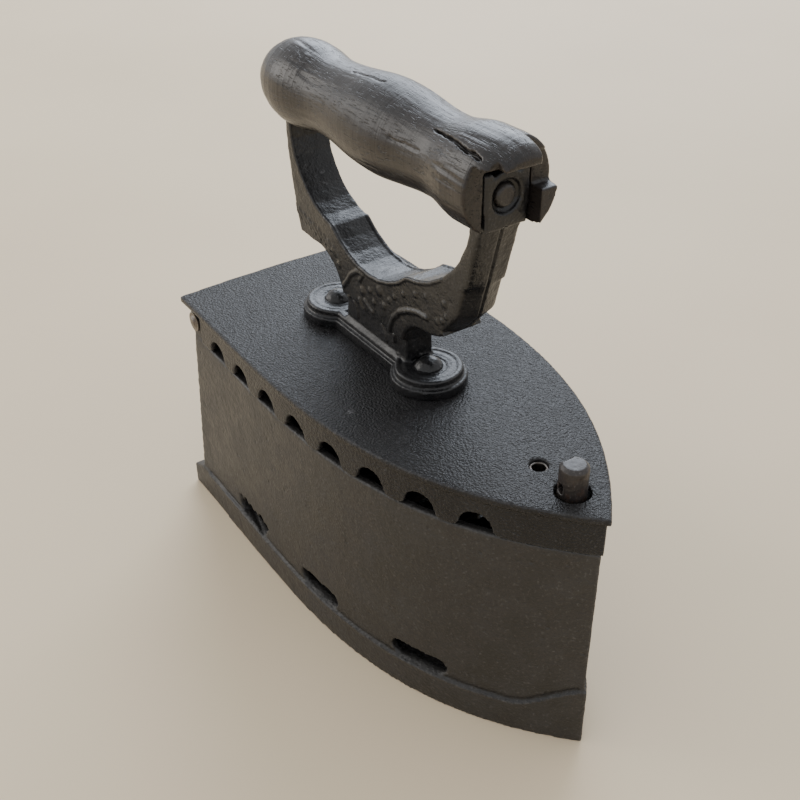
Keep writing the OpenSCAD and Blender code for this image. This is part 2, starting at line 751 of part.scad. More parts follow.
lip_len = 9.2;                             // upper lip in front of the front eye
lip_sides = [8.5, 4.5];                     // its reach to the iron's right and left
lip_h = 8.8;                                // underside of the lip above the grip's axis
grip_front = front_eye_x + eye_t + lip_len;
knob_len = 23;
knob_x = grip_x + knob_len;
rear_waist_x = knob_x + 20;
belly_x = rear_waist_x + 32;
tip_round_len = 12;
tip_x0 = grip_front - tip_round_len;
flare_x = tip_x0 - 7;
front_waist_x = flare_x - 17;
far_cheek_x = front_eye_x + eye_t + 5;      // front end of the cheek on the iron's left
far_cheek_h = 1.6;                          // broken upper edge of that cheek above the rod's axis
near_cheek_x = front_eye_x + eye_t - 0.4;   // worn front end of the cheek on the right
tip_drop = 4.5;                             // how much thinner the turning is at its front
mortise_ends = [0.8, 0.6, 3.4];             // behind and in front of the rear eye, behind the front one
recess_l = 10;                              // recess for the rod's nut

function ease(a, b, t) = a + (b - a) * (1 - cos(180 * t)) / 2;
function grip_wave(x0, x1, a, b) = [for (i = [0 : 6]) [ease(a, b, i / 7), x0 + (x1 - x0) * i / 7]];

// The turned shape: [radius, place along the grip]
function grip_turning() = concat(
    [[0, grip_x]],
    [for (a = [12 : 12 : 84]) [(grip_r - 0.4) * sin(a), knob_x - knob_len * cos(a)]],
    grip_wave(knob_x, rear_waist_x, grip_r - 0.4, grip_r - waist_d),
    grip_wave(rear_waist_x, belly_x, grip_r - waist_d, grip_r),
    grip_wave(belly_x, front_waist_x, grip_r, grip_r - waist_d),
    grip_wave(front_waist_x, flare_x, grip_r - waist_d, grip_r - 0.1),
    [for (a = [0 : 15 : 90]) [grip_r - 0.1 - tip_drop * (1 - cos(a)), tip_x0 + tip_round_len * sin(a)]],
    [[0, grip_front]]);

module arm_mortise(x0, x1) {
    top = rod_z + eye_r + wood_gap;
    half = max(strap_w / 2, eye_r) + wood_gap;
    translate([x0 - wood_gap, -half, grip_z - grip_r - eps])
        cube([x1 - x0 + 2 * wood_gap, 2 * half, top - grip_z + grip_r + eps]);
}

module wooden_grip() {
    below = grip_z - grip_r - eps;
    color([0.2, 0.13, 0.09]) placed() difference() {
        translate([0, 0, grip_z]) rotate([0, 90, 0]) rotate_extrude() polygon(grip_turning());
        arm_mortise(rear_eye_x - mortise_ends[0], rear_eye_x + eye_t + mortise_ends[1]);
        arm_mortise(front_eye_x - mortise_ends[2], grip_front + eps);
        translate([far_cheek_x, -wide / 2, below]) cube([lid_len, wide, grip_r + lip_h + eps]);
        translate([near_cheek_x, -wide / 2, below]) cube([lid_len, wide / 2, grip_r + lip_h + eps]);
        translate([front_eye_x + eye_t, 0, rod_z + far_cheek_h])
            cube([lid_len, wide, grip_z + lip_h - rod_z - far_cheek_h]);
        for (m = [0, 1]) mirror([0, 1 - m, 0]) translate([far_cheek_x - m * 4, lip_sides[m], grip_z])
            cube([lid_len, wide, grip_r + eps]);
        rod_x(rod_r + fit, grip_x - eps, grip_front, rod_z);
        rod_x(nut_recess_r, grip_x - eps, grip_x + recess_l, rod_z);
    }
}

nut_t = 4.5;
nut_washer_t = 1.2;
nut_play = 0.5;                             // round the washer in its recess
nut_x = grip_x + recess_l - nut_washer_t - nut_t;
rod_front = front_eye_x + eye_t - 0.2;
rod_chamfer = 0.8;
rod_past = 1.2;                             // rod past its nut

module grip_rod() {
    color([0.3, 0.27, 0.24]) placed() {
        rod_x(rod_r, nut_x - rod_past, rod_front - rod_chamfer, rod_z);
        translate([rod_front - rod_chamfer, 0, rod_z]) rotate([0, 90, 0])
            cylinder(r1 = rod_r, r2 = rod_r - rod_chamfer, h = rod_chamfer);
    }
}

module grip_washer() {
    color([0.33, 0.31, 0.29]) placed() difference() {
        rod_x(nut_recess_r - nut_play, nut_x + nut_t, nut_x + nut_t + nut_washer_t, rod_z);
        rod_x(rod_r + fit, nut_x + nut_t - eps, nut_x + nut_t + nut_washer_t + eps, rod_z);
    }
}

module grip_nut() {
    color([0.28, 0.26, 0.24]) placed() difference() {
        translate([nut_x, 0, rod_z]) rotate([0, 90, 0])
            cylinder(r = nut_recess_r - 2 * nut_play, h = nut_t, $fn = 6);
        rod_x(rod_r + fit, nut_x - eps, nut_x + nut_t + eps, rod_z);
    }
}

body_tub();
fire_grate();
hinge_pin();
hinge_pin_washers();
latch_peg();
peg_washer();
peg_set_screw();
lid();
keeper_tongue();
keeper_rivet();
heat_shield();
shield_spacers();
rivet_washers();
foot_rivet_rear();
foot_rivet_front();
handle_yoke();
wooden_grip();
grip_rod();
grip_washer();
grip_nut();
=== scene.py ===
"""Charcoal clothes iron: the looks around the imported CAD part.

Each iron casting and the wooden grip is a skin grown from its CAD node: a copy of the node is
remeshed into one rounded skin, relief is pressed into it, and it is roughened. Small turned parts
keep their CAD shape with softened edges, and the rest stays as it is. Units are metres.
"""
import math
import random

import bmesh
import bpy
from mathutils import Matrix, Vector, bvhtree, kdtree, noise


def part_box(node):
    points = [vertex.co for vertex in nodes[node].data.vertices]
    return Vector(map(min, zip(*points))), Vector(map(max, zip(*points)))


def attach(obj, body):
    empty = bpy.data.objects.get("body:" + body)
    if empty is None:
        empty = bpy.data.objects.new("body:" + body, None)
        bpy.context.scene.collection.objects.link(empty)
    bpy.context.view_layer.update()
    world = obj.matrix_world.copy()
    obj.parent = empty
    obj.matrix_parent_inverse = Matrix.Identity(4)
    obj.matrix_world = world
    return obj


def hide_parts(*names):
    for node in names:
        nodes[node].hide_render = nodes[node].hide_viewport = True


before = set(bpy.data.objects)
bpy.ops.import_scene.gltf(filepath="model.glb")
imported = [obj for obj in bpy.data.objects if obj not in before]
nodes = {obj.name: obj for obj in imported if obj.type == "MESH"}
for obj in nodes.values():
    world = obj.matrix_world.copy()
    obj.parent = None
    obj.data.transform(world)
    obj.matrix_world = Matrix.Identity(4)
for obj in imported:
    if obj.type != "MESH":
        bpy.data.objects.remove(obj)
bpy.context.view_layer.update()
MM = 0.001
SMOOTHING = 0.5                             # how far one smoothing pass moves a point
MOST_TRIANGLES = 190000                     # of one piece


# ---- places, read from the frame ----

def low(node):
    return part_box(node)[0]


def high(node):
    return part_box(node)[1]


def middle(node):
    return (low(node) + high(node)) / 2


HEEL_X = low("lid").x
LID_TOP = low("handle_yoke").z
REAR_RIVET_X = middle("foot_rivet_rear").x
FRONT_RIVET_X = middle("foot_rivet_front").x
FOOT_X = (REAR_RIVET_X + FRONT_RIVET_X) / 2
FOOT_TOP = LID_TOP + 6 * MM                 # top of the handle's foot
STRAP_SIDE = 7.8 * MM                       # half width of the handle's strap
GRIP_AXIS = (low("wooden_grip").z + high("wooden_grip").z) / 2


# ---- meshes ----

def new_object(name, mesh):
    made = bpy.data.objects.new(name, mesh)
    bpy.context.scene.collection.objects.link(made)
    return made


def clean_copy(name, node):
    """A copy of a CAD node's mesh with its split corners merged, so that it is closed."""
    shape = bmesh.new()
    shape.from_mesh(nodes[node].data)
    bmesh.ops.remove_doubles(shape, verts=shape.verts, dist=0.001 * MM)
    mesh = bpy.data.meshes.new(name)
    places = [tuple(v.co) for v in shape.verts]
    mesh.from_pydata(places, [], [[v.index for v in f.verts] for f in shape.faces])
    shape.free()
    return new_object(name, mesh)


def applied(piece):
    """Replaces a piece's mesh by the result of its modifiers."""
    seen = piece.evaluated_get(bpy.context.evaluated_depsgraph_get())
    mesh = bpy.data.meshes.new_from_object(seen)
    piece.modifiers.clear()
    piece.data = mesh
    return piece


def cut(piece, cutter):
    """Cuts a closed bmesh out of a piece."""
    mesh = bpy.data.meshes.new("cutter")
    cutter.to_mesh(mesh)
    cutter.free()
    tool = new_object("cutter", mesh)
    step = piece.modifiers.new("cut", "BOOLEAN")
    step.object = tool
    step.operation = "DIFFERENCE"
    step.solver = "EXACT"
    applied(piece)
    bpy.data.objects.remove(tool)
    return piece


def join_on(piece, extra):
    """Adds a bmesh of closed shapes to a piece, to be merged by the remesh."""
    whole = bmesh.new()
    whole.from_mesh(piece.data)
    added = bpy.data.meshes.new("extra")
    extra.to_mesh(added)
    extra.free()
    whole.from_mesh(added)
    bpy.data.meshes.remove(added)
    whole.to_mesh(piece.data)
    whole.free()
    return piece


def skin(piece, voxel, passes):
    """Merges all shapes of a piece into one even skin and rounds its edges."""
    step = piece.modifiers.new("remesh", "REMESH")
    step.mode = "VOXEL"
    step.voxel_size = voxel
    step.adaptivity = 0
    step = piece.modifiers.new("smooth", "SMOOTH")
    step.factor = SMOOTHING
    step.iterations = passes
    return applied(piece)


def soften(piece, a, b, passes):
    """Rounds the skin between the corners a and b of a box."""
    group = piece.vertex_groups.new(name="soft")
    inside = [v.index for v in piece.data.vertices if all(a[k] < v.co[k] < b[k] for k in range(3))]
    group.add(inside, 1.0, "REPLACE")
    step = piece.modifiers.new("soften", "SMOOTH")
    step.factor = SMOOTHING
    step.iterations = passes
    step.vertex_group = "soft"
    return applied(piece)


def roughen(piece, layers):
    """Moves a skin in and out by layers of (feature size, height) of smooth noise."""
    for i, (size, height) in enumerate(layers):
        cloud = bpy.data.textures.new("cast_%s_%d" % (piece.name, i), "CLOUDS")
        cloud.noise_scale = size
        cloud.noise_depth = 1
        step = piece.modifiers.new("rough", "DISPLACE")
        step.texture = cloud
        step.texture_coords = "GLOBAL"
        step.strength = height
        step.mid_level = 0.5
    return applied(piece)


def thin_out(piece):
    """Reduces a skin to at most MOST_TRIANGLES."""
    count = sum(len(f.vertices) - 2 for f in piece.data.polygons)
    if count > MOST_TRIANGLES:
        step = piece.modifiers.new("thin", "DECIMATE")
        step.ratio = MOST_TRIANGLES / count
        applied(piece)
    return piece


def keep_in_box(piece, node):
    """Holds a skin inside its CAD node's box."""
    a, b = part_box(node)
    for v in piece.data.vertices:
        for k in range(3):
            v.co[k] = min(max(v.co[k], a[k]), b[k])
    return piece


def smooth_shade(piece):
    for f in piece.data.polygons:
        f.use_smooth = True
    piece.data.update()


def finish_piece(piece, node, body, material):
    """Gives a skin its material and puts it on its body in place of its CAD node."""
    keep_in_box(piece, node)
    smooth_shade(piece)
    piece.data.materials.clear()
    piece.data.materials.append(material)
    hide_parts(node)
    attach(piece, body)
    return piece


def lump(shape, place, radius, stretch):
    """An ellipsoid, stretched along X, Y and Z."""
    pose = Matrix.Translation(place) @ Matrix.Diagonal((*[radius * s for s in stretch], 1))
    bmesh.ops.create_icosphere(shape, subdivisions=2, radius=1, matrix=pose)


def surface_of(mesh):
    return bvhtree.BVHTree.FromPolygons([v.co for v in mesh.vertices], [f.vertices for f in mesh.polygons])


def push(mesh, moves):
    """Adds each move to its point, after all normals have been read."""
    for v, move in moves:
        v.co += move
    mesh.update()


class Relief:
    """Dots and lines at which a skin is raised (height over 0) or sunk (height under 0)."""

    def __init__(self):
        self.dots = []

    def dot(self, place, radius, height):
        self.dots.append((Vector(place), radius, height))

    def line(self, points, radius, height, end_radius=None):
        """Overlapping dots along points, whose radius may change towards the end."""
        end_radius = radius if end_radius is None else end_radius
        total = sum((b - a).length for a, b in zip(points, points[1:]))
        gone = 0.0
        for a, b in zip(points, points[1:]):
            length = (b - a).length
            steps = max(1, int(length / (0.4 * min(radius, end_radius))))
            for i in range(steps + 1):
                share = (gone + length * i / steps) / total
                self.dot(a.lerp(b, i / steps), radius + (end_radius - radius) * share, height)
            gone += length

    def ring(self, centre, ring_radius, radius, height):
        """A ring that lies flat, about a vertical axis."""
        corners = 48
        turns = [2 * math.pi * i / corners for i in range(corners + 1)]
        middle_point = Vector(centre)
        points = [middle_point + ring_radius * Vector((math.cos(t), math.sin(t), 0)) for t in turns]
        self.line(points, radius, height)

    def press(self, piece):
        """Moves the skin's points near a dot along their normals, as far as its round cap reaches."""
        mesh = piece.data
        surface = surface_of(mesh)
        tree = kdtree.KDTree(len(self.dots))
        for i, (place, radius, height) in enumerate(self.dots):
            tree.insert(surface.find_nearest(place)[0], i)
        tree.balance()
        widest = max(radius for place, radius, height in self.dots)
        moves = []
        for v in mesh.vertices:
            move = 0.0
            for place, i, distance in tree.find_range(v.co, widest):
                radius, height = self.dots[i][1:]
                if distance < radius:
                    rise = height * math.sqrt(1 - (distance / radius) ** 2)
                    move = rise if abs(rise) > abs(move) else move
            if move:
                moves.append((v, v.normal * move))
        push(mesh, moves)


def on_side(x, z, side):
    """A place on the side of the handle's strap, in mm from the foot's middle and the lid's top."""
    return Vector((FOOT_X + x * MM, side * STRAP_SIDE, LID_TOP + z * MM))


# ---- materials ----

class Finish:
    """A procedural material on Principled BSDF, read in the row frame's metres."""

    def __init__(self, name, roughness=0.5, metallic=0.0, specular=0.5, coat=0.0):
        self.material = bpy.data.materials.new(name)
        self.material.use_nodes = True
        self.tree = self.material.node_tree
        self.shader = self.tree.nodes["Principled BSDF"]
        self.shader.inputs["Roughness"].default_value = roughness
        self.shader.inputs["Metallic"].default_value = metallic
        self.shader.inputs["Specular IOR Level"].default_value = specular
        self.shader.inputs["Coat Weight"].default_value = coat
        self.shader.inputs["Coat Roughness"].default_value = 0.25
        self.place = self.node("ShaderNodeTexCoord").outputs["Object"]
        self.bump_chain = None

    def node(self, kind, **inputs):
        made = self.tree.nodes.new(kind)
        for key, value in inputs.items():
            self.feed(made.inputs[key.replace("_", " ")], value)
        return made

    def feed(self, socket, value):
        if isinstance(value, bpy.types.NodeSocket):
            self.tree.links.new(value, socket)
        else:
            socket.default_value = value

    def noise(self, size, detail=3.0, rough=0.55, stretch=(1, 1, 1), warp=0.0, shift=0.0):
        """Noise with features of this size in metres, longer along a stretched axis."""
        at = self.node("ShaderNodeMapping", Vector=self.place, Location=(shift, shift, shift),
                       Scale=tuple(1 / s for s in stretch)).outputs[0]
        made = self.node("ShaderNodeTexNoise", Vector=at, Scale=1 / size, Detail=detail,
                         Roughness=rough, Distortion=warp)
        return made.outputs["Fac"]

    def cells(self, size):
        """The distance to the nearest of scattered points, about this far apart."""
        return self.node("ShaderNodeTexVoronoi", Vector=self.place, Scale=1 / size).outputs["Distance"]

    def span(self, value, from_low, from_high, to_low=0.0, to_high=1.0):
        """Maps one range of a value to another, and stops at its ends."""
        made = self.node("ShaderNodeMapRange", Value=value)
        made.inputs["From Min"].default_value = from_low
        made.inputs["From Max"].default_value = from_high
        made.inputs["To Min"].default_value = to_low
        made.inputs["To Max"].default_value = to_high
        return made.outputs["Result"]

    def sum(self, *pairs):
        """Weighted sum of values."""
        total = 0.0
        for value, weight in pairs:
            made = self.node("ShaderNodeMath")
            made.operation = "MULTIPLY_ADD"
            self.feed(made.inputs[0], value)
            self.feed(made.inputs[1], weight)
            self.feed(made.inputs[2], total)
            total = made.outputs[0]
        return total

    def times(self, a, b):
        made = self.node("ShaderNodeMath")
        made.operation = "MULTIPLY"
        self.feed(made.inputs[0], a)
        self.feed(made.inputs[1], b)
        return made.outputs[0]

    def blend(self, share, a, b):
        made = self.tree.nodes.new("ShaderNodeMix")
        made.data_type = "RGBA"
        self.feed(made.inputs[0], share)
        self.feed(made.inputs[6], (*a, 1) if isinstance(a, tuple) else a)
        self.feed(made.inputs[7], (*b, 1) if isinstance(b, tuple) else b)
        return made.outputs[2]

    def edges(self):
        return self.span(self.node("ShaderNodeNewGeometry").outputs["Pointiness"], 0.52, 0.62)

    # a mask of the hollows, used to paint shade into them
    def hollow_shade(self):
        return self.span(self.node("ShaderNodeNewGeometry").outputs["Pointiness"], 0.49, 0.42)

    def bump(self, height, depth):
        """Adds a layer of bump, this deep in metres."""
        made = self.node("ShaderNodeBump", Height=height, Distance=depth, Strength=1.0)
        if self.bump_chain is not None:
            self.feed(made.inputs["Normal"], self.bump_chain)
        self.bump_chain = made.outputs["Normal"]

    def done(self, colour, roughness=None):
        self.feed(self.shader.inputs["Base Color"], colour)
        if roughness is not None:
            self.feed(self.shader.inputs["Roughness"], roughness)
        if self.bump_chain is not None:
            self.feed(self.shader.inputs["Normal"], self.bump_chain)
        return self.material


def cast_finish(name, dark, pale, brown, brown_share, grain, grain_depth, roughness, worn=(0.2, 0.19, 0.18),
                edge_wear_and_highlight=0.5, specular=0.5, coat=0.0, pits=0.0):
    """Painted cast iron: grain, blotches, browned patches, pits, paint worn thin on edges that also carries
    a painted highlight along them, and painted shade in hollows.
    """
    f = Finish(name, specular=specular, coat=coat)
    blotch = f.span(f.noise(14 * MM, 4, 0.6), 0.35, 0.7)
    fine = f.noise(grain, 2, 0.5)
    dots = f.noise(grain * 2.2, 2, 0.5, shift=0.3)
    colour = f.blend(blotch, dark, pale)
    colour = f.blend(f.times(f.span(f.noise(5 * MM, 5, 0.65, shift=0.7), 0.55, 0.8), brown_share),
                     colour, brown)
    colour = f.blend(f.times(f.span(fine, 0.6, 0.8), 0.4), colour, worn)
    colour = f.blend(f.times(f.span(fine, 0.42, 0.25), 0.6), colour, tuple(0.3 * c for c in dark))
    edge_break = f.span(f.noise(1.6 * MM, 3, 0.6, shift=0.1), 0.3, 0.6)
    # paint worn thin on the edges, lightened further into a painted highlight along them
    colour = f.blend(f.times(f.times(f.edges(), edge_break), edge_wear_and_highlight), colour, worn)
    # painted shade in hollows and creases
    colour = f.blend(f.times(f.hollow_shade(), 0.7), colour, tuple(0.35 * c for c in dark))
    height = f.sum((fine, 0.65), (dots, 0.35))
    f.bump(height, grain_depth)
    if pits > 0:
        hole = f.span(f.cells(8 * MM), 0.03, 0.13)
        f.bump(hole, pits)
        f.bump(f.span(f.noise(4 * MM, 4, 0.7, shift=0.5), 0.5, 0.8), pits * 0.6)
    return f.done(colour, f.span(f.sum((blotch, 0.5), (dots, 0.5)), 0.25, 0.75, *roughness))


def lid_finish():
    # the large edge share paints a bright highlight along the plate's rim, on top of the wear
    return cast_finish("satin_black_lid", (0.0135, 0.013, 0.0135), (0.021, 0.0205, 0.0205),
                       (0.021, 0.018, 0.016), 0.2, grain=0.8 * MM, grain_depth=0.95 * MM,
                       roughness=(0.27, 0.38), worn=(0.13, 0.13, 0.135), edge_wear_and_highlight=0.9, specular=0.24)


def tub_finish():
    return cast_finish("worn_black_tub", (0.0155, 0.0145, 0.0138), (0.028, 0.026, 0.0245),
                       (0.036, 0.028, 0.023), 0.35, grain=1.1 * MM, grain_depth=0.4 * MM,
                       roughness=(0.42, 0.58), worn=(0.13, 0.125, 0.12), edge_wear_and_highlight=0.7, pits=0.3 * MM)


def yoke_finish():
    return cast_finish("glossy_black_yoke", (0.006, 0.006, 0.0065), (0.014, 0.0135, 0.014),
                       (0.024, 0.019, 0.016), 0.5, grain=1.0 * MM, grain_depth=0.3 * MM,
                       roughness=(0.27, 0.46), worn=(0.10, 0.10, 0.105), edge_wear_and_highlight=0.6, specular=0.4,
                       coat=0.05)


def grate_finish():
    return cast_finish("ashy_grate", (0.05, 0.045, 0.04), (0.12, 0.11, 0.1), (0.14, 0.08, 0.05), 0.6,
                       grain=0.9 * MM, grain_depth=0.3 * MM, roughness=(0.7, 0.9))


def peg_finish():
    return cast_finish("browned_peg", (0.018, 0.015, 0.014), (0.034, 0.028, 0.025),
                       (0.090, 0.042, 0.022), 0.7, grain=0.8 * MM, grain_depth=0.15 * MM,
                       roughness=(0.32, 0.52), worn=(0.20, 0.18, 0.17), edge_wear_and_highlight=0.8)


def rod_finish():
    return cast_finish("dark_rod", (0.016, 0.014, 0.013), (0.036, 0.030, 0.026), (0.07, 0.04, 0.025), 0.5,
                       grain=0.8 * MM, grain_depth=0.2 * MM, roughness=(0.35, 0.55), worn=(0.16, 0.14, 0.13))


def steel_finish():
    """Oxidised steel with fine scratches and brown specks."""
    tint = (0.20, 0.185, 0.17)
    f = Finish("dull_steel", metallic=1.0)
    streak = f.noise(0.4 * MM, 3, 0.6, stretch=(8, 1, 1))
    speck = f.span(f.noise(1.5 * MM, 5, 0.7, shift=0.4), 0.5, 0.75)
    colour = f.blend(f.span(streak, 0.3, 0.7), tuple(0.6 * t for t in tint), tint)
    colour = f.blend(f.times(speck, 0.7), colour, (0.09, 0.05, 0.03))
    f.bump(f.sum((streak, 0.5), (speck, 0.5)), 0.04 * MM)
    return f.done(colour, f.span(speck, 0, 1, 0.38, 0.75))


def shield_finish():
    """Sheet steel with heat tints from straw to blue."""
    f = Finish("heat_tinted_sheet", metallic=1.0)
    heat = f.span(f.noise(25 * MM, 3, 0.5), 0.35, 0.65)
    colour = f.blend(heat, (0.18, 0.16, 0.13), (0.09, 0.10, 0.14))
    soot = f.span(f.noise(6 * MM, 5, 0.7, shift=0.2), 0.45, 0.7)
    colour = f.blend(f.times(soot, 0.8), colour, (0.02, 0.018, 0.016))
    f.bump(f.noise(1.2 * MM, 3), 0.06 * MM)
    return f.done(colour, f.span(soot, 0, 1, 0.35, 0.8))


def wood_finish():
    """Dark stained turned wood: long open grain along the grip, turning marks, hand polish, and painted
    shade in hollows.
    """
    f = Finish("dark_turned_wood", specular=0.42, coat=0.12)
    band = f.noise(2.4 * MM, 4, 0.6, stretch=(16, 1, 1), warp=0.4)
    line = f.noise(0.9 * MM, 3, 0.65, stretch=(16, 1, 1), shift=0.2)
    pore = f.span(f.noise(0.5 * MM, 2, 0.5, stretch=(12, 1, 1), shift=0.6), 0.6, 0.72)
    cloud = f.span(f.noise(24 * MM, 3, 0.6, stretch=(2, 1, 1), shift=0.9), 0.35, 0.68)
    turned = f.noise(1.1 * MM, 2, 0.6, stretch=(1, 30, 30), shift=0.4)
    colour = f.blend(f.span(band, 0.35, 0.68), (0.006, 0.005, 0.0045), (0.015, 0.0105, 0.0085))
    colour = f.blend(f.times(f.span(line, 0.45, 0.7), 0.5), colour, (0.022, 0.015, 0.012))
    colour = f.blend(f.times(cloud, 0.65), colour, (0.010, 0.008, 0.008))
    colour = f.blend(f.times(pore, 0.8), colour, (0.003, 0.002, 0.002))
    colour = f.blend(f.times(f.edges(), 0.4), colour, (0.075, 0.055, 0.045))
    # painted shade in the hollows and cracks
    colour = f.blend(f.times(f.hollow_shade(), 0.85), colour, (0.003, 0.0025, 0.0025))
    patch = f.span(f.noise(20 * MM, 2, 0.5, stretch=(1.6, 1, 1), shift=0.15), 0.42, 0.62)
    f.bump(f.times(f.sum((band, 0.6), (line, 0.4)), f.span(patch, 0, 1, 0.25, 1.0)), 0.45 * MM)
    f.bump(pore, -0.2 * MM)
    f.bump(turned, 0.12 * MM)
    return f.done(colour, f.span(f.sum((cloud, 0.6), (line, 0.4)), 0.2, 0.8, 0.29, 0.46))


def floor_finish():
    f = Finish("pale_floor", roughness=0.6, specular=0.3)
    tone = f.noise(0.25, 3, 0.5)
    return f.done(f.blend(f.span(tone, 0.3, 0.7), (0.73, 0.60, 0.42), (0.78, 0.645, 0.455)))


# ---- castings ----

def ledge_relief():
    """A groove along the foot of the wall and a raised line along the sole block's upper edge."""
    ledge = 13.5 * MM                      # the block's height, which rises towards the nose
    nose_ledge = 25 * MM
    rise = 20 * MM
    beside = 80 * MM                       # where the rays start, outside the walls
    points = 100
    nose_x = high("body_tub").x
    surface = surface_of(nodes["body_tub"].data)
    relief = Relief()
    for side in (-1, 1):
        groove = []
        edge = []
        for i in range(points):
            x = HEEL_X + 6 * MM + (nose_x - HEEL_X - 9 * MM) * i / (points - 1)
            share = min(1.0, max(0.0, (x - nose_x + rise) / rise))
            z = ledge + (nose_ledge - ledge) * share * share * (3 - 2 * share)
            for line, height in ((groove, z + 0.5 * MM), (edge, z - 0.5 * MM)):
                hit = surface.ray_cast(Vector((x, side * beside, height)), Vector((0, -side, 0)))[0]
                if hit is not None:
                    line.append(hit)
        relief.line(groove, 1.0 * MM, -0.5 * MM)
        relief.line(edge, 0.9 * MM, 0.3 * MM)
    return relief


def slot_chips():
    """The bites out of the upper edge of the slot nearest the heel, on the iron's right."""
    first_x = HEEL_X + 37 * MM
    pitch = 4.3 * MM
    wall_y = -44.2 * MM
    edge_z = 20.4                          # mm above the sole
    random.seed(11)
    chips = bmesh.new()
    for i in range(6):
        place = Vector((first_x + i * pitch, wall_y, (edge_z + random.uniform(-0.8, 1.2)) * MM))
        lump(chips, place, random.uniform(1.5, 2.5) * MM, (1, 2.2, 1))
    return chips


def grind_sole(tub):
    """Levels the roughness of the sole's face."""
    reach = 0.6 * MM
    for v in tub.data.vertices:
        if v.co.z < reach:
            v.co.z = max(0.0, v.co.z * 0.6)


def make_tub(material):
    """The fire box: rough-cast walls on a crisp sole block, with ragged draught slots."""
    tub = clean_copy("fire_box_casting", "body_tub")
    cut(tub, slot_chips())
    skin(tub, 0.7 * MM, passes=1)
    ledge_relief().press(tub)
    roughen(tub, [(9 * MM, 0.3 * MM), (2.2 * MM, 0.2 * MM)])
    grind_sole(tub)
    thin_out(tub)
    return finish_piece(tub, "body_tub", "tub", material)


def make_lid(material):
    """The lid: an orange-peel plate over a scalloped skirt."""
    lid = clean_copy("lid_casting", "lid")
    skin(lid, 0.55 * MM, passes=1)
    roughen(lid, [(14 * MM, 0.2 * MM), (1.5 * MM, 0.08 * MM)])
    thin_out(lid)
    return finish_piece(lid, "lid", "lid", material)


def side_ornament(relief, side):
    """Scroll, arch rim, leaves, beads, cradle lip and leaf veins on one side of the strap."""
    scroll = ((-12.7, 21.1), (-9.7, 24.6), (-7.7, 27.7), (-3, 31.3), (0.9, 31.4), (-1.4, 28.2))
    arch = ((16.8, 11.7), (17.4, 17.5), (19.6, 22.9), (23.8, 27.2), (28.6, 29.9), (34.1, 31.7),
            (39.4, 32.2))
    leaves = (((-1.9, 20.4), (-0.3, 17.9), (1.8, 15.5)), ((1.7, 21.5), (4.3, 20), (6.8, 19)),
              ((-10, 17), (-8, 13.5), (-7, 10)), ((9, 14), (11, 11.5), (12, 9)))
    beads = ((0.1, 24.6, 1.9), (11.1, 29.5, 2.0), (13.9, 24.9, 1.3), (17.3, 28.6, 1.3), (20.5, 31.4, 1.2),
             (26, 35, 1.2), (48.8, 41.5, 1.5), (45.4, 33.5, 1.2), (48, 35, 1.2), (50, 37.5, 1.1),
             (5, 27, 1.2), (7.5, 23.5, 1.1), (-15, 29, 1.4), (-19, 33, 1.4), (33, 38, 1.3), (39, 40, 1.2))
    lip = ((-19.4, 42.4), (-14, 38.3), (-8.4, 35.4), (-2.4, 33.6), (4.2, 33), (11, 33.6), (17, 35.4),
           (23, 38.1), (27.6, 41.8), (34, 43.4), (41, 46), (46.6, 49.7))
    relief.line([on_side(x, z, side) for x, z in scroll], 0.95 * MM, 0.55 * MM)
    relief.line([on_side(x, z, side) for x, z in arch], 1.1 * MM, 0.8 * MM)
    for leaf in leaves:
        relief.line([on_side(x, z, side) for x, z in leaf], 0.9 * MM, 0.55 * MM, end_radius=0.6 * MM)
    for x, z, radius in beads:
        relief.dot(on_side(x, z, side), radius * MM, 0.45 * MM)
    relief.line([on_side(x, z, side) for x, z in lip], 0.9 * MM, 0.5 * MM)
    for i in range(9):                     # leaf veins along the rear arm
        x = -46 + 3.4 * i
        z = 37.5 - 0.85 * i
        relief.line([on_side(x, z + 4, side), on_side(x + 4.5, z, side)], 0.8 * MM, 0.3 * MM)


def yoke_relief():
    """The ornament of both sides, the foot's raised lines and rings, and the arm's parting line."""
    waist = 19.5                           # half length of the foot's waist
    parting = ((67.9, 73.5), (64.3, 61), (61.3, 50.5), (57.4, 38.8), (50, 31))
    relief = Relief()
    for side in (-1, 1):
        side_ornament(relief, side)
        for row in (7.4 * MM, 5.2 * MM):
            points = [Vector((FOOT_X + x * MM, side * row, FOOT_TOP)) for x in (-waist, 0, waist)]
            relief.line(points, 1.0 * MM, 0.4 * MM)
    for x in (REAR_RIVET_X, FRONT_RIVET_X):
        relief.ring((x, 0, FOOT_TOP), 11.0 * MM, 1.1 * MM, 0.45 * MM)
        relief.ring((x, 0, FOOT_TOP), 8.6 * MM, 1.0 * MM, 0.22 * MM)
        relief.ring((x, 0, FOOT_TOP), 5.9 * MM, 0.7 * MM, -0.35 * MM)
    points = [Vector((FOOT_X + x * MM, 0, LID_TOP + z * MM)) for x, z in parting]
    relief.line(points, 0.65 * MM, -0.5 * MM)
    return relief


def head_shoulders():
    """Square corners beside the front arm's round head, which fill the grip's slot."""
    size = (4.6 * MM, 3.0 * MM, 12 * MM)
    x = high("grip_rod").x - 2.2 * MM
    z = middle("grip_rod").z + 2 * MM
    corners = bmesh.new()
    for side in (-1, 1):
        pose = Matrix.Translation((x, side * 6.8 * MM, z)) @ Matrix.Diagonal((*size, 1))
        bmesh.ops.create_cube(corners, size=1, matrix=pose)
    return corners


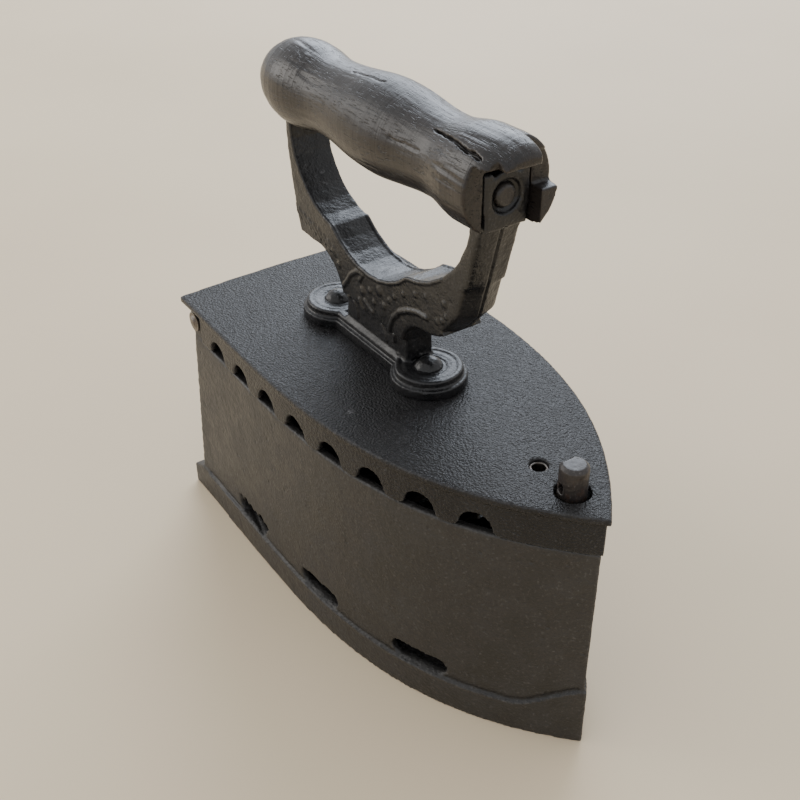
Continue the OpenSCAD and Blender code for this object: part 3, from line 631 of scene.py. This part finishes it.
def make_yoke(material):
    """The handle casting: sculpted arms, cusped cradle, side ornament and a stepped foot."""
    beyond = 1                             # metres, past everything
    yoke = clean_copy("handle_casting", "handle_yoke")
    join_on(yoke, head_shoulders())
    skin(yoke, 0.45 * MM, passes=8)
    arm_back = FRONT_RIVET_X + 22 * MM
    soften(yoke, (arm_back, -beyond, LID_TOP + 28 * MM), (beyond, beyond, LID_TOP + 71 * MM), passes=30)
    yoke_relief().press(yoke)
    roughen(yoke, [(7 * MM, 0.35 * MM), (2.4 * MM, 0.14 * MM)])
    thin_out(yoke)
    return finish_piece(yoke, "handle_yoke", "lid", material)


def grip_cracks():
    """The long crack that runs into the broken front, and a few short splits along the grain."""
    # first and last angle above the iron's right, start before the front end, length, half width
    # at the start and at the end, depth; degrees and mm
    splits = ((55, 45, -34, 25, 0.4, 0.75, 2.2), (118, 116, -60, 22, 0.4, 0.5, 0.3),
              (75, 77, -85, 18, 0.4, 0.5, 0.3), (140, 137, -112, 16, 0.4, 0.5, 0.3),
              (20, 22, -50, 14, 0.4, 0.5, 0.25), (100, 99, -20, 12, 0.4, 0.5, 0.3))
    steps = 8
    surface_radius = 15 * MM
    front = high("wooden_grip").x
    relief = Relief()
    random.seed(3)
    for first, last, start, length, thin, wide, depth in splits:
        points = []
        for i in range(steps + 1):
            angle = math.radians(first + (last - first) * i / steps + random.uniform(-1, 1))
            radial = Vector((0, -math.cos(angle), math.sin(angle)))
            axis = Vector((front + (start + length * i / steps) * MM, 0, GRIP_AXIS))
            points.append(axis + radial * surface_radius)
        relief.line(points, thin * MM, -depth * MM, end_radius=wide * MM)
    return relief


def grain_wood(grip):
    """Presses long shallow grooves into the wood, deeper in some patches than in others."""
    moves = []
    for v in grip.data.vertices:
        x, y, z = v.co / MM
        groove = noise.noise(Vector((x * 0.045, y * 0.62, z * 0.62)))
        patch = noise.noise(Vector((x * 0.04, y * 0.06, z * 0.06 + 9)))
        swell = noise.noise(Vector((x * 0.07, y * 0.09, z * 0.09 + 4)))
        sink = max(0.0, groove) * (0.15 + max(0.0, patch) * 1.2) * 0.7 - swell * 0.2
        moves.append((v, v.normal * -sink * MM))
    push(grip.data, moves)


def make_grip(material):
    """The turned grip: worn, grooved and cracked, with its broken front."""
    grip = clean_copy("turned_grip", "wooden_grip")
    skin(grip, 0.48 * MM, passes=2)
    grain_wood(grip)
    grip_cracks().press(grip)
    thin_out(grip)
    return finish_piece(grip, "wooden_grip", "lid", material)


def make_small(name, node, body, material, voxel, passes, rough):
    """A small part with softened edges and one layer of roughness, (feature size, height)."""
    piece = clean_copy(name, node)
    skin(piece, voxel, passes)
    roughen(piece, [rough])
    return finish_piece(piece, node, body, material)


def dress(node, material):
    """A CAD node that stays as it is gets its finish."""
    piece = nodes[node]
    if piece.material_slots:
        for holder in piece.material_slots:
            holder.material = material
    else:
        piece.data.materials.append(material)


# ---- studio ----

def make_floor():
    shape = bmesh.new()
    bmesh.ops.create_grid(shape, x_segments=8, y_segments=8, size=3.0)
    mesh = bpy.data.meshes.new("floor")
    shape.to_mesh(mesh)
    shape.free()
    floor = new_object("floor", mesh)
    floor.data.materials.append(floor_finish())


def make_light(name, place, target, size, power, colour):
    data = bpy.data.lights.new(name, "AREA")
    data.shape = "DISK"
    data.size = size
    data.energy = power
    data.color = colour
    lamp = new_object(name, data)
    lamp.location = place
    lamp.rotation_mode = "QUATERNION"
    lamp.rotation_quaternion = (Vector(target) - Vector(place)).to_track_quat("-Z", "Y")


def make_camera():
    data = bpy.data.cameras.new("camera")
    data.sensor_width = 36
    data.lens = 49.36
    camera = new_object("camera", data)
    pitch, yaw, roll = math.radians(-34.407), math.radians(146.037), math.radians(-0.719)
    look = Vector((math.cos(pitch) * math.cos(yaw), math.cos(pitch) * math.sin(yaw), math.sin(pitch)))
    level = look.to_track_quat("-Z", "Y").to_matrix()
    camera.rotation_mode = "QUATERNION"
    camera.rotation_quaternion = (level @ Matrix.Rotation(roll, 3, "Z")).to_quaternion()
    camera.location = (0.275645, -0.189248, 0.314705)
    bpy.context.scene.camera = camera


def make_world():
    world = bpy.data.worlds.new("studio")
    world.use_nodes = True
    back = world.node_tree.nodes["Background"]
    back.inputs["Color"].default_value = (0.97, 0.98, 1.0, 1)
    back.inputs["Strength"].default_value = 0.98
    bpy.context.scene.world = world


make_camera()
make_world()
make_floor()
make_light("window", (-1.3, 1.2, 1.25), (0, 0, 0.1), 1.7, 36, (0.80, 0.88, 1.0))
make_light("room", (-1.7, -1.3, 0.9), (0, 0, 0.05), 1.4, 16, (1.0, 0.96, 0.90))

tub_iron = tub_finish()
lid_iron = lid_finish()
yoke_iron = yoke_finish()
steel = steel_finish()
wood = wood_finish()
peg_iron = peg_finish()

make_tub(tub_iron)
make_lid(lid_iron)
make_yoke(yoke_iron)
make_grip(wood)
make_small("peg_turned", "latch_peg", "latch", peg_iron,
           0.3 * MM, passes=3, rough=(1.5 * MM, 0.12 * MM))
for end in ("rear", "front"):
    make_small("rivet_head_" + end, "foot_rivet_" + end, "lid", yoke_iron,
               0.3 * MM, passes=3, rough=(2 * MM, 0.3 * MM))
make_small("hollow_rivet", "keeper_rivet", "lid", steel,
           0.25 * MM, passes=2, rough=(1.2 * MM, 0.25 * MM))
make_small("rod_forged", "grip_rod", "lid", rod_finish(),
           0.4 * MM, passes=3, rough=(2 * MM, 0.15 * MM))
dress("fire_grate", grate_finish())
dress("heat_shield", shield_finish())
for part in ("hinge_pin", "hinge_pin_washers", "peg_washer", "peg_set_screw", "keeper_tongue",
             "shield_spacers", "rivet_washers", "grip_washer", "grip_nut"):
    dress(part, steel)
